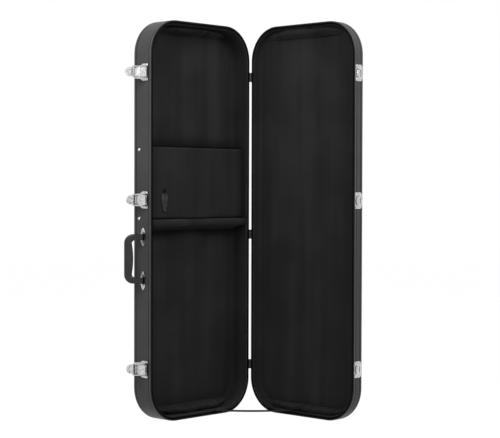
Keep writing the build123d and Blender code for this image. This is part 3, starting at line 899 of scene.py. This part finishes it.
# %% End pads
ROLL_SET_BACK = {"base_lower": 16 * MM, "base_upper": 13 * MM, "lid_lower": 3 * MM,
                 "lid_upper": 2 * MM}
PAD_TUCK_REACH = 118 * MM
PAD_TUCK_INSIDE = 3 * MM
PAD_TUCK_PROUD = 0.6 * MM
PAD_TUCK_RADIUS = 1.7 * MM
for body, place, floor in HALVES:
    near_rim = depth_at(f"{body}_end_pad_lower", 0)
    for number, end in enumerate(("lower", "upper")):
        crown = near_rim + ROLL_SET_BACK[f"{body}_{end}"]
        node = f"{body}_end_pad_{end}"
        pad = end_pad(f"{body}_roll_{end}", place, node, crown, floor, number + near_rim * 90)
        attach(pad, body)
        low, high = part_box(node)
        edge_up = high.z - PAD_TUCK_INSIDE if end == "lower" else low.z + PAD_TUCK_INSIDE
        tuck(f"{body}_tuck_{end}", body, place, PAD_TUCK_REACH, edge_up, floor - PAD_TUCK_PROUD,
             PAD_TUCK_RADIUS)

# %% [markdown]
# ## Dividers
# Two padded dividers close off the accessory compartment. The lower one rises to the rim as a
# round ridge, with a shallow cradle in its middle for the guitar's neck. Each is a section run
# across the case: the ridge's section moves back where the cradle is.

# %% A padded bar
BAR_STEPS = 80
BAR_ARC_STEPS = 5
BAR_SAG = 0.8 * MM
BASE_FLOOR = depth_at("base_floor_lining", 0)


def bar_section(near, far, low, high, corner, cove):
    """(depth, up) round a bar whose two front edges are rounded. Its cloth runs down onto the
    floor in a cove."""
    found = [(far, low - cove), (far - 0.6 * cove, low - 0.35 * cove), ((near + far) / 2, low)]
    for centre, start in ((low + corner, 270), (high - corner, 180)):
        for i in range(BAR_ARC_STEPS + 1):
            a = math.radians(start - 90 * i / BAR_ARC_STEPS)
            found.append((near + corner + corner * math.cos(a), centre + corner * math.sin(a)))
    return found + [((near + far) / 2, high), (far, high)]


def padded_bar(name, front, low, high, corner, paint, across, plump=0.5 * MM, cove=0.0):
    """A bar across the deep half's floor. front(x) is the depth of its front at x."""
    middle = (low + high) / 2
    rings = []
    for i in range(BAR_STEPS + 1):
        x = -across + 2 * across * i / BAR_STEPS
        drop = BAR_SAG * ripple(70 * MM, x, low, 9.0)
        ring = []
        for depth, up in bar_section(front(x), BASE_FLOOR, low, high, corner, cove):
            swell = 1 + plump / (high - low) * ripple(45 * MM, x, depth, up)
            ring.append(in_base(x, depth, middle + (up - middle) * swell + drop))
        rings.append(ring)
    return make_piece(name, skin(rings, False), paint)


print("a bar has", BAR_STEPS + 1, "sections")

# %% Dividers
divider_low, divider_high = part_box("lower_divider")
upper_low, upper_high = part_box("upper_divider")
board_low, board_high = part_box("compartment_lid")
INSIDE = divider_high.x - 0.6 * MM
CLOTH = 0.8 * MM
RIDGE_THICK = 21 * MM
RIDGE_ROUND = 9.4 * MM
RIDGE_PLUMP = 1.2 * MM
RIDGE_COVE = 16 * MM
RIDGE_OVERLAP = 2 * MM
CRADLE_HALF = 50 * MM
CRADLE_DEEP = 14 * MM
CRADLE_FLANK = 66 * MM
LEDGE_ROUND = 2.5 * MM
LEDGE_UNDER = 4 * MM
BOARD_GAP = 0.3 * MM
ridge_near = depth_at("lower_divider", 0)
ridge_top = divider_low.z + RIDGE_THICK
ledge_near = depth_at("compartment_lid", 1) + BOARD_GAP


def ridge_front(x):
    """The ridge's front: at the rim near the walls, and set back in the cradle."""
    out = eased(within((abs(x) - CRADLE_HALF + CRADLE_FLANK / 2) / CRADLE_FLANK))
    return ridge_near + CRADLE_DEEP * (1 - out)


def ledge_front(x):
    """A ledge's front is straight, just behind the compartment's lid."""
    return ledge_near


ridge = padded_bar("neck_ridge", ridge_front, divider_low.z + CLOTH, ridge_top - CLOTH,
                   RIDGE_ROUND, ridge_plush, INSIDE + RIDGE_OVERLAP, RIDGE_PLUMP, RIDGE_COVE)
ledge = padded_bar("lower_ledge", ledge_front, ridge_top - LEDGE_UNDER, divider_high.z - CLOTH,
                   LEDGE_ROUND, lining_plush, INSIDE)
# The upper divider's pad takes the near-black plush, painted shade above the compartment's lid.
upper = padded_bar("upper_divider_pad", ledge_front, upper_low.z + CLOTH, upper_high.z - CLOTH,
                   LEDGE_ROUND, shade_black_plush, INSIDE)
for piece, nodes in ((ridge, ["lower_divider"]), (ledge, ["lower_divider"]),
                     (upper, ["upper_divider"])):
    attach(piece, "base")
    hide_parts(*nodes)

# %% [markdown]
# ## The tuck over the upper divider
# Above the compartment's lid the floor's plush is pushed down behind the board and bunches in one
# wandering fold, dark with painted shade. It is the same helper again, run nearly the full width.

# %% Tuck over the upper divider
UPPER_TUCK_RADIUS = 3.0 * MM
upper_tuck_at = (board_high.z + 3.4 * MM, ledge_near + 1 * MM)
tuck("upper_tuck", "base", in_base, INSIDE, *upper_tuck_at, UPPER_TUCK_RADIUS)

# %% [markdown]
# ## The compartment's lid
# The lid is a thin board wrapped in plush. The wrap rounds its edges and puffs a little over the
# face. It turns on a strip of cloth at the hinge side and is lifted by a leather tab, which
# comes out of a short bound slot. A box with a bevel would do for the board, but the wrap's top
# edge is rolled unevenly by hand, so both faces are grids whose depth is worked out.

# %% Compartment lid
BOARD_EDGE = 5 * MM
TOP_ROLL = 9 * MM
TOP_WANDER = 4.5 * MM
WRAP = 0.6 * MM
WRAP_ROUND = 2.6 * MM
board_front = depth_at("compartment_lid", 0)
board_back = depth_at("compartment_lid", 1)


def board_face(across, up, near):
    """Depth of the front: rounded at the edges, and rolled back along the top."""
    top = TOP_WANDER * ripple(40 * MM, across, 3.0, 1.0)
    roll = edge_fall(board_high.z - up + top * 0.5, TOP_ROLL)
    fall = min(edge_fall(near, BOARD_EDGE), 0.35 + 0.65 * roll)
    soft = 0.35 * MM * ripple(60 * MM, across, up, 6.0)
    return board_front + WRAP + WRAP_ROUND * (1 - fall) + soft * fall


def board_under(across, up, near):
    """Depth of the back, which is flat but for its edges."""
    return board_back - 1.2 * MM * (1 - edge_fall(near, BOARD_EDGE))


def board_grid(depth_of):
    def point(s, t):
        across = board_low.x + (board_high.x - board_low.x) * s
        up = board_low.z + (board_high.z - board_low.z) * t
        near = min(across - board_low.x, board_high.x - across,
                   up - board_low.z, board_high.z - up)
        return in_base(across, depth_of(across, up, near), up)

    return grid(96, 56, point)


board = make_piece("compartment_board", pillow(board_grid(board_face), board_grid(board_under)),
                   board_plush, rounds=0)
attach(board, "compartment_lid")
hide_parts("compartment_lid")

# %% [markdown]
# ## Hinge tape
# The lid has no metal hinge. A strip of the lining cloth is glued over its edge and onto the side
# lining, and bends as the lid is lifted. Here it's one thin, slightly rippled sheet.

# %% Hinge tape
tape_low, tape_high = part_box("compartment_hinge_tape")
TAPE_SHORT = 2 * MM
TAPE_BOW = 0.25 * MM
TAPE_THICK = 0.75 * MM
TAPE_SUNK = 0.05 * MM


def tape_grid(lift):
    """One face of the tape, lift in front of its back, and short of the lid's ends."""
    def point(s, t):
        across = tape_low.x + (tape_high.x - tape_low.x) * s
        up = tape_low.z + TAPE_SHORT + (tape_high.z - tape_low.z - 2 * TAPE_SHORT) * t
        bow = TAPE_BOW * ripple(30 * MM, across, up, 2.0)
        return Vector((across, tape_high.y - TAPE_SUNK - lift + bow, up))

    return grid(24, 48, point)


tape = make_piece("lid_hinge_tape", pillow(tape_grid(TAPE_THICK), tape_grid(0)), lining_plush,
                  rounds=0)
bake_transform(tape)
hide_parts("compartment_hinge_tape")

# %% [markdown]
# ## The pull tab
# The tab is a leaf of leather, narrow in the slot, wide at its shoulder and tapered to a round end
# that curls outward. A flat leaf would do from afar, but light catches the curl, so its half width
# and its depth are two short formulas of the way down it.

# %% Pull tab
tab_low, tab_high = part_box("pull_tab")
tab_middle = (tab_low.x + tab_high.x) / 2
TAB_WIDE = 12.4 * MM
TAB_NARROW = 4.4 * MM
TAB_THICK = 0.85 * MM
TAB_CURL = 2.6 * MM
TAB_BOW = 0.6 * MM
TAB_STEPS = 26
TAB_SIDES = 14
# Shares of the tab's height, and then of the way down it.
TAB_SHOWN = 0.86
SHOULDER, TAPER_FROM, CURL_FROM, END_FROM = 0.22, 0.2, 0.78, 0.93


def tab_half(t):
    """Half width from the slot, at 0, to the end, at 1: neck, shoulder, taper, round end."""
    neck = 0.5 + 0.5 * min(1.0, t / SHOULDER) ** 0.7
    taper = (1 - max(0.0, t - TAPER_FROM) / (1 - TAPER_FROM)) ** 0.85
    end = math.sqrt(max(0.03, 1 - (max(0.0, t - END_FROM) / (1 - END_FROM)) ** 2))
    return (TAB_NARROW + (TAB_WIDE - TAB_NARROW) * taper) * neck * end


def tab_depth(t):
    bow = TAB_BOW * math.sin(math.pi * min(1.0, t * 1.1))
    bow += TAB_CURL * max(0.0, (t - CURL_FROM) / (1 - CURL_FROM)) ** 2
    return tab_low.y - base_rim + 0.75 * MM - bow + 0.5 * MM * (1 - t)


def tab_up(t):
    return tab_low.z + (tab_high.z - tab_low.z) * TAB_SHOWN * (1 - t)


def squared(value):
    """A sine or cosine pushed outward, which squares up the section made with it."""
    return math.copysign(abs(value) ** 0.5, value)


def tab_ring(t):
    ring = []
    for i in range(TAB_SIDES):
        a = math.tau * i / TAB_SIDES
        across = tab_middle + tab_half(t) * squared(math.cos(a))
        ring.append(in_base(across, tab_depth(t) + TAB_THICK * squared(math.sin(a)), tab_up(t)))
    return ring


tab = make_piece("leather_tab", skin([tab_ring(i / TAB_STEPS) for i in range(TAB_STEPS + 1)], False),
                 leather)
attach(tab, "compartment_lid")
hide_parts("pull_tab")

# %% [markdown]
# ## The tab's stitches
# The leather is sewn down each side. The stitches are short bars of thread laid along its edge,
# because a seam that is only painted shows up flat when seen close.

# %% Stitches
STITCHES = 13
STITCH_LONG = 0.036
SEAM_FROM, SEAM_LONG = 0.12, 0.76
SEAM_INSET = 1.8 * MM
SEAM_PROUD = 0.9 * MM
THREAD_RADIUS = 0.32 * MM
THREAD_SIDES = 6
# Places along a stitch, as shares of it, and its size there, as shares of the thread's radius.
STITCH_DOME = ((0, 0.45), (0.12, 1), (0.88, 1), (1, 0.45))


def stitch(start, end):
    """Points and faces of a short round bar with domed ends."""
    along = end - start
    side = along.orthogonal().normalized()
    other = along.normalized().cross(side)
    rings = []
    for share, size in STITCH_DOME:
        centre = start + along * share
        angles = [math.tau * k / THREAD_SIDES for k in range(THREAD_SIDES)]
        rings.append([centre + (side * math.cos(a) + other * math.sin(a)) * THREAD_RADIUS * size
                      for a in angles])
    return skin(rings, False)


def together(shapes):
    """Several shapes as one."""
    points, faces = [], []
    for more_points, more_faces in shapes:
        first = len(points)
        points += more_points
        faces += [tuple(first + k for k in face) for face in more_faces]
    return points, faces


stitches = []
for side in (-1, 1):
    for i in range(STITCHES):
        begin = SEAM_FROM + SEAM_LONG * i / STITCHES
        ends = []
        for t in (begin, begin + STITCH_LONG):
            across = tab_middle + side * (tab_half(t) - SEAM_INSET)
            ends.append(in_base(across, tab_depth(t) - SEAM_PROUD, tab_up(t)))
        stitches.append(stitch(*ends))
tab_seam = make_piece("tab_stitches", together(stitches), thread, rounds=0)
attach(tab_seam, "compartment_lid")

# %% [markdown]
# ## The tab's slot
# The tab comes out of an oval hole in the board, bound with a raised rim so that the leather
# doesn't tear the plush. The hole could be a dark patch, but it's real depth that makes it dark
# from every side, so an oval bar is cut out of the board and a thin ring is laid round the hole.

# %% Slot in the board
HOLE_HALF_WIDE = 5.5 * MM
HOLE_HALF_TALL = 7.5 * MM
HOLE_DEEP = 4.5 * MM
HOLE_STEPS = 40
SLOT_RIM = 0.9 * MM
RIM_SIDES = 8
hole_up = tab_up(0) + HOLE_HALF_TALL * 0.55


def hole_outline():
    """Points round the oval hole, with their outward directions."""
    for i in range(HOLE_STEPS):
        a = math.tau * i / HOLE_STEPS
        out = Vector((math.cos(a), 0, math.sin(a)))
        yield Vector((tab_middle + HOLE_HALF_WIDE * out.x, 0, hole_up + HOLE_HALF_TALL * out.z)), out


def slot_binding():
    """An oval ring of thread-bound cloth round the tab's hole."""
    rings = []
    for centre, out in hole_outline():
        ring = []
        for k in range(RIM_SIDES):
            b = math.tau * k / RIM_SIDES
            point = centre + out * SLOT_RIM * math.cos(b)
            point.y = base_rim + board_front - 0.1 * MM + SLOT_RIM * 0.9 * math.sin(b)
            ring.append(point)
        rings.append(ring)
    return skin(rings, True)


def hole_plug():
    """What the hole takes out of the board: a short oval bar from in front of its face."""
    ends = []
    for depth in (board_front - 5 * MM, board_front + HOLE_DEEP):
        ends.append([in_base(point.x, depth, point.z) for point, out in hole_outline()])
    return skin(ends, False)


plug = make_piece("plug", hole_plug(), lining_plush, rounds=0)
cut = board.modifiers.new("tab_hole", "BOOLEAN")
cut.object = plug
cut.solver = "EXACT"
bpy.context.view_layer.objects.active = board
bpy.ops.object.modifier_apply(modifier=cut.name)
bpy.data.objects.remove(plug)
print("board has", len(board.data.polygons), "faces with the hole cut")

binding = make_piece("tab_slot_binding", slot_binding(), lining_plush, rounds=0)
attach(binding, "compartment_lid")

# %% [markdown]
# ## The lid's strap
# A narrow strap near the floor stops the lid at a right angle. When the case shuts it folds in
# between the halves, so it's fixed to neither. It could be a cloth simulation, but it's pulled
# nearly straight at rest. So it's a flat woven band with thicker selvedges and a slightly
# narrowed end under each rivet, a little slack and a little twisted.

# %% Shape of the strap
STRAP_HALF = 8.6 * MM
STRAP_THICK = 0.55 * MM
STRAP_SAG = 2.5 * MM
STRAP_TWIST = math.radians(5)
STRAP_STEPS = 90
STRAP_END = 0.95 * STRAP_HALF
# Places across the band, as shares of half its width, and its thickness there.
BAND = ((-1, 0.4), (-0.94, 1.25), (-0.8, 1), (0.8, 1), (0.94, 1.25), (1, 0.4))
strap_low, strap_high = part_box("lid_stay")
base_foot = sum(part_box("stay_base_rivet"), Vector()) / 2
lid_foot = sum(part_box("stay_lid_rivet"), Vector()) / 2
base_foot.z = lid_foot.z = (strap_low.z + strap_high.z) / 2
foot_to_foot = (lid_foot - base_foot).length
along_strap = (lid_foot - base_foot).normalized()
flat_across = Vector((-along_strap.y, along_strap.x, 0))


def strap_ring(from_foot):
    """The band's section at a distance from its first rivet."""
    centre = base_foot + along_strap * from_foot
    middle = math.sin(math.pi * within(from_foot / foot_to_foot))
    centre.z -= STRAP_SAG * middle
    across = flat_across * math.cos(STRAP_TWIST * middle)
    across.z = math.sin(STRAP_TWIST * middle)
    end = min(from_foot + STRAP_HALF, foot_to_foot + STRAP_END - from_foot) / STRAP_HALF
    wide = STRAP_HALF * min(1.0, 0.55 + 0.9 * max(0.0, end)) ** 0.5
    top = [centre + across * wide * share + Vector((0, 0, STRAP_THICK * thick))
           for share, thick in BAND]
    under = [centre + across * wide * share - Vector((0, 0, STRAP_THICK * thick))
             for share, thick in reversed(BAND[1:-1])]
    return top + under


print("strap rivets", round(foot_to_foot, 4), "m apart")

# %% Lid strap
STRAP_HELD = 12 * MM
strap_reach = foot_to_foot + 2 * STRAP_END
strap_rings = [strap_ring(strap_reach * i / STRAP_STEPS - STRAP_END) for i in range(STRAP_STEPS + 1)]
strap = make_piece("lid_strap", skin(strap_rings, False), webbing, rounds=0)
base_foot + along_strap * STRAP_HELD
lid_foot - along_strap * STRAP_HELD
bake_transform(strap)
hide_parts("lid_stay")

# %% [markdown]
# ## Floor and room
# The case stands on a pale floor in a plain white room. Light could simply be turned up until both
# are white, but then the case would be washed out. So the white is what the camera and the glossy
# metal see, and it's kept apart from the light on the case: each finish keeps its own tone, and
# the floor keeps the case's soft shadow.

# %% Floor and room
ROOM_LEVEL = 0.25
FLOOR_SIZE = 14.0
FLOOR_BELOW = 0.5 * MM
SHADOW_SHARE = 0.20
FLOOR_GLOW = 1.20
WHITE = (1, 1, 1, 1)
world = bpy.data.worlds.new("white_room")
scene.world = world
world.use_nodes = True
room = Nodes(world.node_tree)
background = room.tree.nodes["Background"]
room.feed(background.inputs["Color"], WHITE)
room.feed(background.inputs["Strength"], ROOM_LEVEL + room.seen_directly() * (1 - ROOM_LEVEL))

floor_paint = Paint("pale_floor", {"Base Color": (0.5, 0.5, 0.5, 1), "Roughness": 0.8,
                                   "Specular IOR Level": 0.1})
glow = floor_paint.node("ShaderNodeEmission", {}, {"Color": WHITE, "Strength": FLOOR_GLOW})
lit = Wire(floor_paint, floor_paint.shader.outputs[0])
seen = floor_paint.seen_directly() * (1 - SHADOW_SHARE)
both = floor_paint.node("ShaderNodeMixShader", {}, {0: seen, 1: lit, 2: glow})
floor_paint.feed(floor_paint.tree.nodes["Material Output"].inputs["Surface"], both)

sides = ((-1, -1), (1, -1), (1, 1), (-1, 1))
corners = [(x * FLOOR_SIZE / 2, y * FLOOR_SIZE / 2, -FLOOR_BELOW) for x, y in sides]
ground = bpy.data.meshes.new("floor")
ground.from_pydata(corners, [], [(0, 1, 2, 3)])
ground.materials.append(floor_paint.material)
floor_piece = bpy.data.objects.new("floor", ground)
scene.collection.objects.link(floor_piece)
print("floor of", FLOOR_SIZE, "m in a room at", ROOM_LEVEL)

# %% [markdown]
# ## Lamps
# Two small soft lamps hang over the case, one toward each half, so that its walls are lighter
# toward the top. A large panel stands in front and fills the linings. It's hidden from
# reflections, because the nickel would otherwise show one bright square instead of the room.

# %% Lamps
# Each lamp's name, place, what it points at, width, height and power in watts.
LAMPS = (
    ("overhead_left", (-1.1, -0.2, 1.5), (-0.15, 0.0, 0.9), 0.8, 0.6, 14),
    ("overhead_right", (0.1, -1.4, 1.5), (0.2, -0.35, 0.9), 0.8, 0.6, 16),
    ("front_panel", (-2.2, -2.2, 1.2), (0.1, -0.1, 0.6), 1.2, 1.6, 19),
)


def softbox(name, place, target, width, height, power):
    lamp = bpy.data.lights.new(name, "AREA")
    lamp.shape = "RECTANGLE"
    lamp.size = width
    lamp.size_y = height
    lamp.energy = power
    holder = bpy.data.objects.new(name, lamp)
    holder.location = place
    aim = Vector(target) - Vector(place)
    holder.rotation_euler = aim.to_track_quat("-Z", "Y").to_euler()
    scene.collection.objects.link(holder)
    return holder


lamps = {lamp[0]: softbox(*lamp) for lamp in LAMPS}
lamps["front_panel"].visible_glossy = False
scene.view_settings.view_transform = "Standard"
print(len(lamps), "soft lamps")
